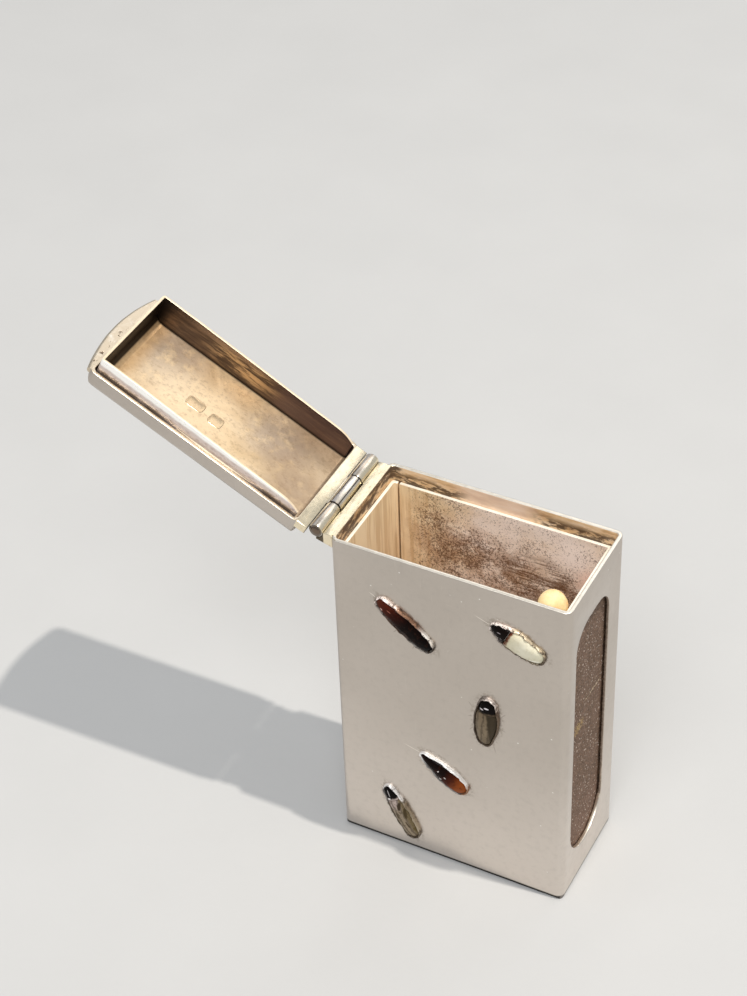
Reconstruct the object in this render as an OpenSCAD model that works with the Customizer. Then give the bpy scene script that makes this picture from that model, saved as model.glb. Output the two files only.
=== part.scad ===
// Vesta case: a small hinged silver box for matches, with its lid standing open.
// The front face with the set stones looks along -Y, the hinge is on the -X end,
// the striker window is in the +X end, and the origin is the centre of the base.

/* [Case] */
// Length of the case from hinge end to striker end
case_w = 31.5; // [27:0.1:38]
// Depth of the case from front to back
case_d = 16.2; // [14.4:0.1:20]
// Height of the body up to its rim
case_h = 50; // [44:0.1:60]
// Thickness of the body's sheet
wall_t = 0.55; // [0.45:0.05:0.7]
// Radius of the upright edges
corner_r = 1; // [0.9:0.1:2]
// Thickness of the base plate
base_t = 0.9; // [0.7:0.05:1.3]
// Rounding of the base plate's lower edge
base_edge_r = 0.45; // [0.2:0.05:0.6]

/* [Liner] */
// Thickness of the inner sleeve
liner_t = 0.45; // [0.35:0.05:0.6]
// Depth of the sleeve's top edge below the rim
liner_drop = 2.25; // [1.7:0.05:2.8]
// Gap between the sleeve and the body's wall
liner_gap = 0.05; // [0.03:0.01:0.1]
// Width of the sleeve's open seam
seam_gap = 0.25; // [0.15:0.05:0.5]
// Distance of the seam from the sleeve's hinge end
seam_in = 0.9; // [0.7:0.05:4]

/* [Striker] */
// Thickness of the abrasive strip
strip_t = 0.6; // [0.4:0.05:0.8]
// Gap on each face of the strip
strip_gap = 0.05; // [0.03:0.01:0.1]
// Reach of the strip behind the wall around the window
strip_lap = 1.1; // [0.8:0.1:1.4]
// Margin between the front face and the window
window_front = 2.3; // [2:0.1:3.4]
// Margin between the back face and the window
window_back = 4; // [2.6:0.1:4.6]
// Height of the window's foot above the base
window_up = 5; // [3.5:0.1:8]
// Depth of the window's head below the rim
window_down = 5.2; // [4.5:0.1:9]
// Radius of the window's upper corners
window_head_r = 3.6; // [2:0.1:5]
// Radius of the window's lower corners
window_foot_r = 4.8; // [2:0.1:5]

/* [Hinge] */
// Opening of the lid from closed
lid_open = 153.1; // [0:0.1:220]
// Distance of the hinge axis from the end wall
hinge_out = 2.15; // [2:0.05:2.6]
// Outer radius of the knuckles
knuckle_r = 0.95; // [0.8:0.05:1]
// Length of the lid's middle knuckle
lid_knuckle_l = 5.5; // [4:0.1:7]
// Gap between neighbouring knuckles
knuckle_gap = 0.08; // [0.05:0.01:0.15]
// Setback of the knuckle row from the front and back faces
hinge_inset = 0.6; // [0.3:0.05:1]
// Radius of the hinge pin
pin_r = 0.4; // [0.3:0.05:0.5]
// Running clearance around the pin
pin_gap = 0.03; // [0.02:0.01:0.06]
// Height of the bearer at the end wall
bearer_h = 1.9; // [1.6:0.1:3.4]
// Height of the bearer's gutter below the knuckles
gutter_t = 0.3; // [0.2:0.05:0.5]
// Clearance of the lid's knuckle in its notch
notch_gap = 0.15; // [0.1:0.01:0.3]
// Depth of the flat notch beside the lid's knuckle
notch_depth = 0.3; // [0.2:0.05:0.5]
// Reach of the flat notch past the lid's knuckle
notch_reach = 0.2; // [0.16:0.01:0.4]
// Film of solder between joined pieces
solder_gap = 0.02; // [0.01:0.01:0.05]

/* [Lid] */
// Height of the lid
lid_h = 2.85; // [2.6:0.05:5]
// Thickness of the lid's sides
lid_wall = 0.55; // [0.45:0.05:0.7]
// Thickness of the lid's top
lid_top_t = 0.65; // [0.5:0.05:0.9]
// Rounding of the lid's long edges and hinge end
lid_edge_r = 1.3; // [0.8:0.1:1.6]
// Rounding of the lid's free end
lid_end_r = 3; // [1.3:0.1:3.2]
// Gap between the closed lid and the rim
lid_gap = 0.05; // [0.03:0.01:0.12]
// Thickness of the flange inside the lid
flange_t = 0.35; // [0.25:0.05:0.5]
// Clearance of the flange in the body's mouth
flange_gap = 0.2; // [0.15:0.05:0.3]
// Clearance of the flange above the sleeve
flange_lift = 0.2; // [0.15:0.05:0.4]
// Setback of the flange's ends from the lid's hinge end
flange_end = 0.9; // [0.8:0.1:2]
// Height of the flange at its ends
flange_end_h = 1.3; // [0.8:0.05:1.3]
// Length over which the flange rises to its full height
flange_taper = 25; // [4:0.5:25]
// Gap between the hinge bar and the knuckles
bar_gap = 0.15; // [0.1:0.01:0.5]
// Height of the hinge bar
bar_h = 1.2; // [0.9:0.1:1.4]
// Setback of the hinge bar from the front and back faces
bar_inset = 0.2; // [0.1:0.05:0.6]
// Thickness of the leaf between bar and middle knuckle
leaf_t = 0.7; // [0.5:0.05:0.8]
// Setback of the thumb lip from the front and back faces
lip_inset = 0.35; // [0.2:0.05:2]
// Projection of the thumb lip at its middle
lip_out = 1.45; // [0.9:0.05:2]
// Projection of the thumb lip at its ends
lip_side = 0.25; // [0.1:0.05:0.6]
// Thickness of the thumb lip
lip_t = 0.8; // [0.6:0.05:1]

/* [Stones] */
// Thickness of each collet's band
collet_t = 0.24; // [0.2:0.02:0.3]
// Height of each collet above the front face
collet_h = 0.4; // [0.3:0.05:0.6]
// Gap between a stone and its collet
stone_gap = 0.03; // [0.02:0.01:0.06]
// Height of the stones at their middle
stone_crown = 0.85; // [0.7:0.05:1.2]
// Least height of the stones at their edge
stone_edge = 0.45; // [0.4:0.05:0.6]
// Upper left collet: head reach, tail reach, width, radius of the head's tip, radius of the tail's tip
upper_left_size = [5.4, 4.3, 3, 1, 1.3]; // [0.6:0.05:6]
// Upper left collet: distance from the hinge end, distance below the rim, turn
upper_left_at = [10.4, 10.25, -38.5]; // [-180:0.1:180]
// Upper right collet: head reach, tail reach, width, radius of the head's tip, radius of the tail's tip
upper_right_size = [3.7, 4.35, 3.5, 0.95, 1.35]; // [0.6:0.05:6]
// Upper right collet: distance from the striker end, distance below the rim, turn
upper_right_at = [6.85, 6.8, -25]; // [-180:0.1:180]
// Middle collet: head reach, tail reach, width, radius of the head's tip, radius of the tail's tip
middle_size = [4.2, 4.2, 3.5, 1.3, 1.15]; // [0.6:0.05:6]
// Middle collet: distance from the striker end, height above the base, turn
middle_at = [10.6, 28.2, -94]; // [-180:0.1:180]
// Lower collet: head reach, tail reach, width, radius of the head's tip, radius of the tail's tip
lower_size = [5.4, 2.5, 3.2, 0.7, 1.35]; // [0.6:0.05:6]
// Lower collet: distance from the hinge end, height above the base, turn
lower_at = [16.2, 15.65, -34.4]; // [-180:0.1:180]
// Foot collet: head reach, tail reach, width, radius of the head's tip, radius of the tail's tip
foot_size = [5.4, 3.9, 2.9, 1, 1.2]; // [0.6:0.05:6]
// Foot collet: distance from the hinge end, height above the base, turn
foot_at = [9.1, 5.75, -62.5]; // [-180:0.1:180]
// Gap between a stone's head and its body
split_gap = 0.06; // [0.04:0.01:0.12]
// Length of the dark heads of the two-part stones
head_l = 2.5; // [1.6:0.1:3]

/* [Match] */
// Diameter of the match's stem
match_stem_d = 1.9; // [1.4:0.1:2.4]
// Diameter of the match's head
match_head_d = 3.8; // [3:0.1:4.2]
// Length of the match's head
match_head_l = 4.6; // [4:0.1:6]
// Depth of the match's tip below the rim
match_down = 0.45; // [0.3:0.05:3]
// Gap between the match's head and the sleeve's striker end
match_gap = 0.15; // [0.1:0.05:0.6]
// Gap between the match's head and the sleeve's front
match_front_gap = 0.5; // [0.1:0.05:1]

/* [Hidden] */
$fn = 64;
// Extra reach of a cutting shape past the piece it cuts
past = 1;
// Smallest radius of a bend in the sheet
least_r = 0.15;
// Upright edge that is left below a rounding
flat_edge = 0.2;
// Least swell of a leaf's sides past its tips
leaf_swell = 0.1;
hinge_x = -case_w / 2 - hinge_out;
row_l = case_d - 2 * hinge_inset;
side_knuckle_l = (row_l - lid_knuckle_l) / 2 - knuckle_gap;
// The hinge bar reaches from the lid's end almost to the knuckles
bar_out = hinge_out - knuckle_r - bar_gap;
window_w = case_d - window_front - window_back;
window_y = (window_front - window_back) / 2;
window_h = case_h - window_up - window_down;
// Flat that the window's corners leave between them
window_flat = 0.2;
window_head_fit_r = min(window_head_r, (window_w - window_flat) / 2);
window_foot_fit_r = min(window_foot_r, (window_w - window_flat) / 2);
mouth_w = case_w - 2 * wall_t;
mouth_d = case_d - 2 * wall_t;
strip_bay = strip_t + 2 * strip_gap;
liner_w = mouth_w - liner_gap - strip_bay;
liner_d = mouth_d - 2 * liner_gap;
liner_x = (liner_gap - strip_bay) / 2;
liner_r = corner_r - wall_t - liner_gap;
// The sleeve's inner corners keep a small radius
liner_in_r = max(liner_r - liner_t, least_r);
lid_z = case_h + lid_gap;
lid_depth = lid_h - lid_top_t;
// The rounding of the lid's free end stays within the lid's height
lid_end_fit_r = min(lid_end_r, lid_h - flat_edge);
lid_metal = max(lid_wall, lid_top_t);
tray_edge_r = max(lid_edge_r - lid_metal, least_r);
tray_end_r = max(lid_end_fit_r - lid_metal, least_r);
flange_h = liner_drop - flange_lift;
flange_w = mouth_w - 2 * flange_gap;
flange_d = mouth_d - 2 * flange_gap;
// The flange's corners keep a small radius
flange_r = max(corner_r - wall_t - flange_gap, least_r);
flange_in_r = max(flange_r - flange_t, least_r);
lip_l = case_d - 2 * lip_inset;
front_y = -case_d / 2;
match_r = match_head_d / 2;
match_x = liner_x + liner_w / 2 - liner_t - match_gap - match_r;
match_y = -liner_d / 2 + liner_t + match_front_gap + match_r;
match_top = case_h - match_down;
// Height on the head at which its underside is as wide as the stem
match_seat = match_top - match_head_l + match_r - sqrt(match_r * match_r - match_stem_d * match_stem_d / 4);

// Rectangle with four round corners
module rounded_plate(w, d, r) {
    square([w - 2 * r, d], center = true);
    square([w, d - 2 * r], center = true);
    for (side = [-1, 1], end = [-1, 1])
        translate([side * (w / 2 - r), end * (d / 2 - r)])
            circle(r);
}

// Outline of the case seen from above, grown evenly by grow
module case_outline(grow) {
    rounded_plate(case_w + 2 * grow, case_d + 2 * grow, corner_r + grow);
}

// Upright section with its two lower corners rounded, each by its own radius
module edge_section(w, h, left_r, right_r) {
    translate([left_r - w / 2, 0])
        square([w - left_r - right_r, h]);
    translate([-w / 2, left_r])
        square([w / 2, h - left_r]);
    translate([left_r - w / 2, left_r])
        circle(left_r);
    translate([0, right_r])
        square([w / 2, h - right_r]);
    translate([w / 2 - right_r, right_r])
        circle(right_r);
}

// Turns a drawing so that it stands in the XZ plane, centred on Y
module across_y(length) {
    rotate([90, 0, 0])
        linear_extrude(length, center = true)
            children();
}

// Slab with round upright corners and a rounded lower edge, which has its own radius at the +X end
module soft_slab(w, d, h, upright_r, edge_r, end_r) {
    intersection() {
        linear_extrude(h)
            rounded_plate(w, d, upright_r);
        across_y(d + past)
            edge_section(w, h + past, edge_r, end_r);
        rotate([0, 0, 90])
            across_y(w + past)
                edge_section(d, h + past, edge_r, edge_r);
    }
}

// Places a piece drawn on the closed lid on the lid as it stands open
module on_lid() {
    translate([hinge_x, 0, case_h])
        rotate([0, -lid_open, 0])
            translate([-hinge_x, 0, -case_h])
                children();
}

// Cylinder along Y on the hinge axis
module on_axis(r, length) {
    translate([hinge_x, 0, case_h])
        rotate([90, 0, 0])
            cylinder(r = r, h = length, center = true);
}

// Outline of the striker window, standing on its foot
module window_outline() {
    upper = window_h - window_head_fit_r;
    translate([-window_w / 2, window_foot_fit_r])
        square([window_w, upper - window_foot_fit_r]);
    translate([window_foot_fit_r - window_w / 2, 0])
        square([window_w - 2 * window_foot_fit_r, window_foot_fit_r + past]);
    translate([window_head_fit_r - window_w / 2, upper - past])
        square([window_w - 2 * window_head_fit_r, window_head_fit_r + past]);
    for (side = [-1, 1]) {
        translate([side * (window_w / 2 - window_foot_fit_r), window_foot_fit_r])
            circle(window_foot_fit_r);
        translate([side * (window_w / 2 - window_head_fit_r), upper])
            circle(window_head_fit_r);
    }
}

// One end of a leaf outline: a round tip joined to two long side arcs
module leaf_end(reach, w, tip_r) {
    tip = reach - tip_r;
    rise = w / 2 - tip_r;
    centre = (tip * tip - rise * rise) / (2 * rise);
    side_r = centre + w / 2;
    meet = tip + tip_r * tip / (side_r - tip_r);
    translate([tip, 0])
        circle(tip_r);
    intersection() {
        translate([0, -centre])
            circle(side_r, $fn = 360);
        translate([0, centre])
            circle(side_r, $fn = 360);
        translate([0, -w / 2])
            square([meet, w]);
    }
}

// Leaf outline with its head along -X and its tail along +X, shrunk evenly by inset
module leaf(size, inset) {
    widest_tip = size[2] / 2 - leaf_swell;
    leaf_end(size[1] - inset, size[2] - 2 * inset, min(size[4], widest_tip) - inset);
    mirror([1, 0])
        leaf_end(size[0] - inset, size[2] - 2 * inset, min(size[3], widest_tip) - inset);
}

// Places a stone or collet on the front face, turned in the plane of the face
module on_front(x, z, turn) {
    translate([x, front_y, z])
        rotate([90, 0, 0])
            rotate([0, 0, turn])
                children();
}

// Raised band around a stone
module collet(size) {
    linear_extrude(collet_h)
        difference() {
            leaf(size, 0);
            leaf(size, collet_t);
        }
}

// Radius of an arc from its half chord and its rise
function arc_r(half, rise) = (half * half + rise * rise) / (2 * rise);

// Domed stone that fits in the collet of the same size; its top falls evenly along and across it
module stone(size) {
    fall = (stone_crown - stone_edge) / 2;
    long_r = arc_r(max(size[0], size[1]), fall);
    cross_r = arc_r(size[2] / 2, fall);
    intersection() {
        linear_extrude(stone_crown + past)
            leaf(size, collet_t + stone_gap);
        translate([0, 0, stone_crown - long_r])
            rotate([90, 0, 0])
                rotate_extrude($fn = 360)
                    translate([long_r - cross_r, 0])
                        circle(cross_r);
    }
}

// Keeps the head or the body of a two-part stone
module keep_part(size, head) {
    cut = head_l - size[0];
    from = head ? -size[0] - past : cut + split_gap;
    to = head ? cut : size[1] + past;
    intersection() {
        children();
        translate([from, -size[2], 0])
            cube([to - from, 2 * size[2], stone_crown + past]);
    }
}

module at_upper_left() {
    on_front(-case_w / 2 + upper_left_at[0], case_h - upper_left_at[1], upper_left_at[2])
        children();
}

module at_upper_right() {
    on_front(case_w / 2 - upper_right_at[0], case_h - upper_right_at[1], upper_right_at[2])
        children();
}

module at_middle() {
    on_front(case_w / 2 - middle_at[0], middle_at[1], middle_at[2])
        children();
}

module at_lower() {
    on_front(-case_w / 2 + lower_at[0], lower_at[1], lower_at[2])
        children();
}

module at_foot() {
    on_front(-case_w / 2 + foot_at[0], foot_at[1], foot_at[2])
        children();
}

// Sleeve of sheet that forms the four sides, with the window in its striker end
module body_shell() {
    color("silver")
        difference() {
            translate([0, 0, base_t])
                linear_extrude(case_h - base_t)
                    difference() {
                        case_outline(0);
                        case_outline(-wall_t);
                    }
            translate([case_w / 2 - wall_t - past / 4, window_y, window_up])
                rotate([90, 0, 90])
                    linear_extrude(wall_t + past)
                        window_outline();
        }
}

// Plate that closes the body below
module base_plate() {
    color("silver")
        soft_slab(case_w, case_d, base_t, corner_r, base_edge_r, base_edge_r);
}

// Bent sleeve inside the body, open at its seam, which holds the strip at its end
module inner_liner() {
    color("tan")
        translate([liner_x, 0, base_t])
            linear_extrude(case_h - liner_drop - base_t)
                difference() {
                    rounded_plate(liner_w, liner_d, liner_r);
                    rounded_plate(liner_w - 2 * liner_t, liner_d - 2 * liner_t, liner_in_r);
                    translate([seam_in - liner_w / 2, liner_d / 2 - liner_t - past])
                        square([seam_gap, liner_t + 2 * past]);
                }
}

// Abrasive strip between the sleeve and the window
module striker_strip() {
    strip_w = window_w + 2 * strip_lap;
    color("saddlebrown")
        translate([mouth_w / 2 - strip_gap - strip_t, window_y - strip_w / 2, base_t])
            cube([strip_t, strip_w, window_up + window_h + strip_lap - base_t]);
}

// Bracket on the end wall with the gutter that the body's knuckles are soldered in
module hinge_bearer() {
    color("wheat")
        difference() {
            across_y(row_l)
                polygon([
                    [hinge_x, case_h],
                    [hinge_x, case_h - knuckle_r - gutter_t],
                    [-case_w / 2, case_h - bearer_h],
                    [-case_w / 2 + corner_r, case_h - bearer_h],
                    [-case_w / 2 + corner_r, case_h]
                ]);
            linear_extrude(case_h + past)
                case_outline(solder_gap);
            on_axis(knuckle_r + solder_gap, case_d);
            on_axis(knuckle_r + notch_gap, lid_knuckle_l + 2 * knuckle_gap);
            translate([hinge_x, -lid_knuckle_l / 2 - knuckle_gap, case_h - notch_depth])
                cube([knuckle_r + notch_reach, lid_knuckle_l + 2 * knuckle_gap, notch_depth + past]);
        }
}

// Tube of the body's half of the hinge; side is -1 at the front and 1 at the rear
module side_knuckle(side) {
    color("silver")
        translate([0, side * (row_l - side_knuckle_l) / 2, 0])
            difference() {
                on_axis(knuckle_r, side_knuckle_l);
                on_axis(pin_r + pin_gap, side_knuckle_l + past);
            }
}

module front_knuckle() {
    side_knuckle(-1);
}

module rear_knuckle() {
    side_knuckle(1);
}

// Pin through all three knuckles
module hinge_pin() {
    color("gray")
        on_axis(pin_r, row_l);
}

module collet_upper_left() {
    color("gainsboro")
        at_upper_left()
            collet(upper_left_size);
}

module collet_upper_right() {
    color("gainsboro")
        at_upper_right()
            collet(upper_right_size);
}

module collet_middle() {
    color("gainsboro")
        at_middle()
            collet(middle_size);
}

module collet_lower() {
    color("gainsboro")
        at_lower()
            collet(lower_size);
}

module collet_foot() {
    color("gainsboro")
        at_foot()
            collet(foot_size);
}

// Long stone, red-brown at its head and black at its tail
module stone_upper_left() {
    color("maroon")
        at_upper_left()
            stone(upper_left_size);
}

module stone_upper_right_head() {
    color("black")
        at_upper_right()
            keep_part(upper_right_size, true)
                stone(upper_right_size);
}

// Cream shell body
module stone_upper_right_body() {
    color("ivory")
        at_upper_right()
            keep_part(upper_right_size, false)
                stone(upper_right_size);
}

module stone_middle_head() {
    color("black")
        at_middle()
            keep_part(middle_size, true)
                stone(middle_size);
}

// Striped brown body
module stone_middle_body() {
    color("dimgray")
        at_middle()
            keep_part(middle_size, false)
                stone(middle_size);
}

// Black stone with an orange-brown tail
module stone_lower() {
    color("sienna")
        at_lower()
            stone(lower_size);
}

module stone_foot_head() {
    color("black")
        at_foot()
            keep_part(foot_size, true)
                stone(foot_size);
}

// Striped grey-brown body
module stone_foot_body() {
    color("rosybrown")
        at_foot()
            keep_part(foot_size, false)
                stone(foot_size);
}

// Match that stands on the base in the corner of the sleeve
module match_stem() {
    color("ivory")
        translate([match_x, match_y, base_t])
            cylinder(d = match_stem_d, h = match_seat - base_t);
}

module match_head() {
    color("peachpuff")
        translate([match_x, match_y, match_seat])
            rotate_extrude()
                intersection() {
                    translate([0, match_top - match_seat - match_head_l + match_r])
                        union() {
                            circle(match_r);
                            square([match_r, match_head_l - 2 * match_r]);
                            translate([0, match_head_l - 2 * match_r])
                                circle(match_r);
                        }
                    square([match_r, match_head_l]);
                }
}

// Space inside the lid's tray, clear of its metal by gap, that reaches below the rim
module tray_space(gap, below) {
    metal = lid_wall + gap;
    translate([0, 0, lid_z + lid_depth - gap])
        mirror([0, 0, 1])
            soft_slab(case_w - 2 * metal, case_d - 2 * metal, lid_depth - gap + below,
                corner_r - metal, tray_edge_r - gap, tray_end_r - gap);
}

// Pressed tray that forms the lid's top and sides
module lid_shell() {
    color("silver")
        on_lid()
            difference() {
                translate([0, 0, lid_z + lid_h])
                    mirror([0, 0, 1])
                        soft_slab(case_w, case_d, lid_h, corner_r, lid_edge_r, lid_end_fit_r);
                tray_space(0, past);
            }
}

// Band that lines three sides of the lid and enters the body's mouth
module lid_flange() {
    flange_foot = case_h - flange_h;
    flange_x = -case_w / 2 + flange_end;
    color("khaki")
        on_lid()
            difference() {
                intersection() {
                    translate([0, 0, flange_foot])
                        linear_extrude(flange_h + lid_gap + lid_depth)
                            difference() {
                                rounded_plate(flange_w, flange_d, flange_r);
                                rounded_plate(flange_w - 2 * flange_t, flange_d - 2 * flange_t, flange_in_r);
                            }
                    tray_space(solder_gap, lid_gap + flange_h + past);
                }
                across_y(case_d)
                    polygon([
                        [-case_w / 2 - past, lid_z + lid_h],
                        [flange_x, lid_z + lid_h],
                        [flange_x, case_h - flange_end_h],
                        [flange_x + flange_taper, flange_foot],
                        [flange_x + flange_taper, flange_foot - past],
                        [-case_w / 2 - past, flange_foot - past]
                    ]);
            }
}

// Strip along the lid's hinge end that carries the middle knuckle
module lid_hinge_bar() {
    color("wheat")
        on_lid()
            difference() {
                translate([-case_w / 2 - bar_out, bar_inset - case_d / 2, lid_z])
                    cube([bar_out + corner_r, case_d - 2 * bar_inset, bar_h]);
                linear_extrude(lid_z + lid_h)
                    case_outline(solder_gap);
            }
}

// Middle knuckle with the leaf that joins it to the bar
module lid_knuckle() {
    color("silver")
        on_lid()
            difference() {
                union() {
                    on_axis(knuckle_r, lid_knuckle_l);
                    translate([hinge_x, -lid_knuckle_l / 2, lid_z])
                        cube([hinge_out - bar_out, lid_knuckle_l, leaf_t]);
                }
                on_axis(pin_r + pin_gap, lid_knuckle_l + past);
            }
}

// Crescent along the lid's free end that the thumb pushes up
module thumb_lip() {
    lip_r = arc_r(lip_l / 2, lip_out - lip_side);
    color("silver")
        on_lid()
            translate([0, 0, lid_z])
                linear_extrude(lip_t)
                    difference() {
                        intersection() {
                            translate([case_w / 2 + lip_out - lip_r, 0])
                                circle(lip_r, $fn = 360);
                            translate([case_w / 2 - corner_r, -lip_l / 2])
                                square([corner_r + lip_out + past, lip_l]);
                        }
                        case_outline(solder_gap);
                    }
}

body_shell();
base_plate();
inner_liner();
striker_strip();
hinge_bearer();
front_knuckle();
rear_knuckle();
hinge_pin();
collet_upper_left();
collet_upper_right();
collet_middle();
collet_lower();
collet_foot();
stone_upper_left();
stone_upper_right_head();
stone_upper_right_body();
stone_middle_head();
stone_middle_body();
stone_lower();
stone_foot_head();
stone_foot_body();
match_stem();
match_head();
lid_shell();
lid_flange();
lid_hinge_bar();
lid_knuckle();
thumb_lip();
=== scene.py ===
import math

import bmesh
import bpy
from mathutils import Matrix, Vector, noise


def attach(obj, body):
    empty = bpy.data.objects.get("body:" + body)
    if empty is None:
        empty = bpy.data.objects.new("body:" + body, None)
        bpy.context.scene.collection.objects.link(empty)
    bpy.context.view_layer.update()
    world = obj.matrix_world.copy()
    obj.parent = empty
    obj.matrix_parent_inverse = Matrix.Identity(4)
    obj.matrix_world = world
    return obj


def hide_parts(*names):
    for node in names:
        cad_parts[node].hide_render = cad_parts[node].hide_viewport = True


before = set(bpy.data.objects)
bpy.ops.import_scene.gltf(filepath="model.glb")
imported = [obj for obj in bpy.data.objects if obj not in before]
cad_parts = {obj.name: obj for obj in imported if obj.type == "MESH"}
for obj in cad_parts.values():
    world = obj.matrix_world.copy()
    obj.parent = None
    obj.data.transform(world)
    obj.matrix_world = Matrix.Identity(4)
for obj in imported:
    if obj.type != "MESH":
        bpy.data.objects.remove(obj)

# The start-up scene's own objects are not part of the model.
for name in ("Cube", "Light", "Camera"):
    if name in bpy.data.objects:
        bpy.data.objects.remove(bpy.data.objects[name])
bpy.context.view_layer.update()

# Sizes of the case in millimetres, in the frame of the solids.
MM = 0.001
CASE_W, CASE_D, CASE_H = 31.5, 16.2, 50.0
WALL = 0.55
BASE_T = 0.9
FRONT = -CASE_D / 2
LINER_TOP = 47.75
HINGE = Vector((-17.9, 0, CASE_H))
# Hinge: radii, rounding and play, half length of the row, inner ends of the outer knuckles, and the joints.
KNUCKLE_R, KNUCKLE_SOFT, PIN_R, PIN_GAP = 0.95, 0.16, 0.4, 0.03
ROW, KNUCKLE_IN, KNUCKLE_JOINT = 7.5, 2.83, 2.79
LID_OPEN = math.radians(153.1)
LID_FLOOR = 52.25
COLLET_T = 0.24
STONE_GAP, STONE_CROWN = 0.03, 0.85
SPLIT_GAP, SPLIT_R, HEAD_L = 0.06, 0.2, 2.5
STRIP = ((14.55, -6.9, 0.9), (15.15, 5.2, 45.9))
GRAIN = 0.16
WINDOW_EDGE = ((15.15, -6, 4.9), (15.7, 4.2, 45))
BEARER_SLAB = ((-15.9, -7.3, 49.9), (-15.24, 7.3, 50.012))
LID_BAR = ((-16.9, -7.9, 50.035), (-15.28, 7.9, 51.25))
MATCH_X, MATCH_Y = 12.0, -4.65
MATCH_R, MATCH_STEM_R = 1.9, 0.95
MATCH_HEAD_Z, MATCH_HEAD_HALF, MATCH_NECK_Z = 47.25, 2.0, 45.2
# Band of the lid: hinge end and straight run, outer faces, centre and radius of the corner, thickness.
BAND_START, BAND_RUN = -14.85, 29.45
BAND_X, BAND_Y = 15.0, 7.35
BAND_BEND_X, BAND_BEND_Y, BAND_R = 14.6, 6.95, 0.4
BAND_T = 0.35
# Free end of the lid, which curves down to its rim: centre and radius of the curve.
CURVE_X, CURVE_Z, CURVE_R = 13.2, 50.2, 2
# Thumb lip: half length, reach and radius of its edge, height, half thickness, and the corner at its root.
LIP_HALF, LIP_REACH, LIP_R = 7.75, 17.2, 25.63
LIP_Z, LIP_T = 50.45, 0.39
ROOT_X, ROOT_Y, ROOT_R = 14.75, 7.1, 0.86
# Edges of the solids that turn by more than this are rounded.
SHARP_EDGE = math.radians(25)
# Focal length and height of the photograph in pixels, sensor in millimetres, camera's place in metres.
FOCAL, PHOTO_H, SENSOR = 2400, 996, 36
CAMERA_AT = (0.09280, -0.195565, 0.238798)

# Where each stone sits: head reach, tail reach, width, tip radii, centre and turn.
STONES = {
    "upper_left": (5.4, 4.3, 3.0, 1.0, 1.3, -5.35, 39.75, -38.5),
    "upper_right": (3.7, 4.35, 3.5, 0.95, 1.35, 8.9, 43.2, -25.0),
    "middle": (4.2, 4.2, 3.5, 1.3, 1.15, 5.15, 28.2, -94.0),
    "lower": (5.4, 2.5, 3.2, 0.7, 1.35, 0.45, 15.65, -34.4),
    "foot": (5.4, 3.9, 2.9, 1.0, 1.2, -6.65, 5.75, -62.5),
}

# Hairlines cut in the front beside the stones, as x and z of both ends: pale feelers and dark legs.
FEELERS = ((5.46, 44.46, 3.3, 45.3), (-4.1, 18.45, -6.7, 19.2), (-9.7, 42.9, -10.7, 43.5))
LEGS = (
    (3.1, 29.9, 2.6, 30.6), (3.15, 28.2, 2.5, 28.0), (3.3, 26.4, 2.7, 25.6), (7.05, 29.6, 7.7, 30.4),
    (7.1, 27.6, 7.7, 27.2), (6.0, 24.4, 6.4, 22.9), (-6.9, 38.6, -7.5, 38.0), (-4.6, 36.9, -4.9, 36.2),
    (7.4, 42.2, 6.9, 41.5), (9.4, 41.2, 9.2, 40.5), (-9.2, 7.6, -9.9, 7.4), (-8.2, 5.4, -8.8, 5.0))

# Turns a point of the closed lid to where the lid stands open.
ON_LID = Matrix.Translation(HINGE) @ Matrix.Rotation(-LID_OPEN, 4, "Y") @ Matrix.Translation(-HINGE)


def rgb(r, g, b):
    """Linear colour from display values of 0 to 255."""
    def linear(c):
        c /= 255
        return c / 12.92 if c <= 0.04045 else ((c + 0.055) / 1.055) ** 2.4
    return (linear(r), linear(g), linear(b), 1)


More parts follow.
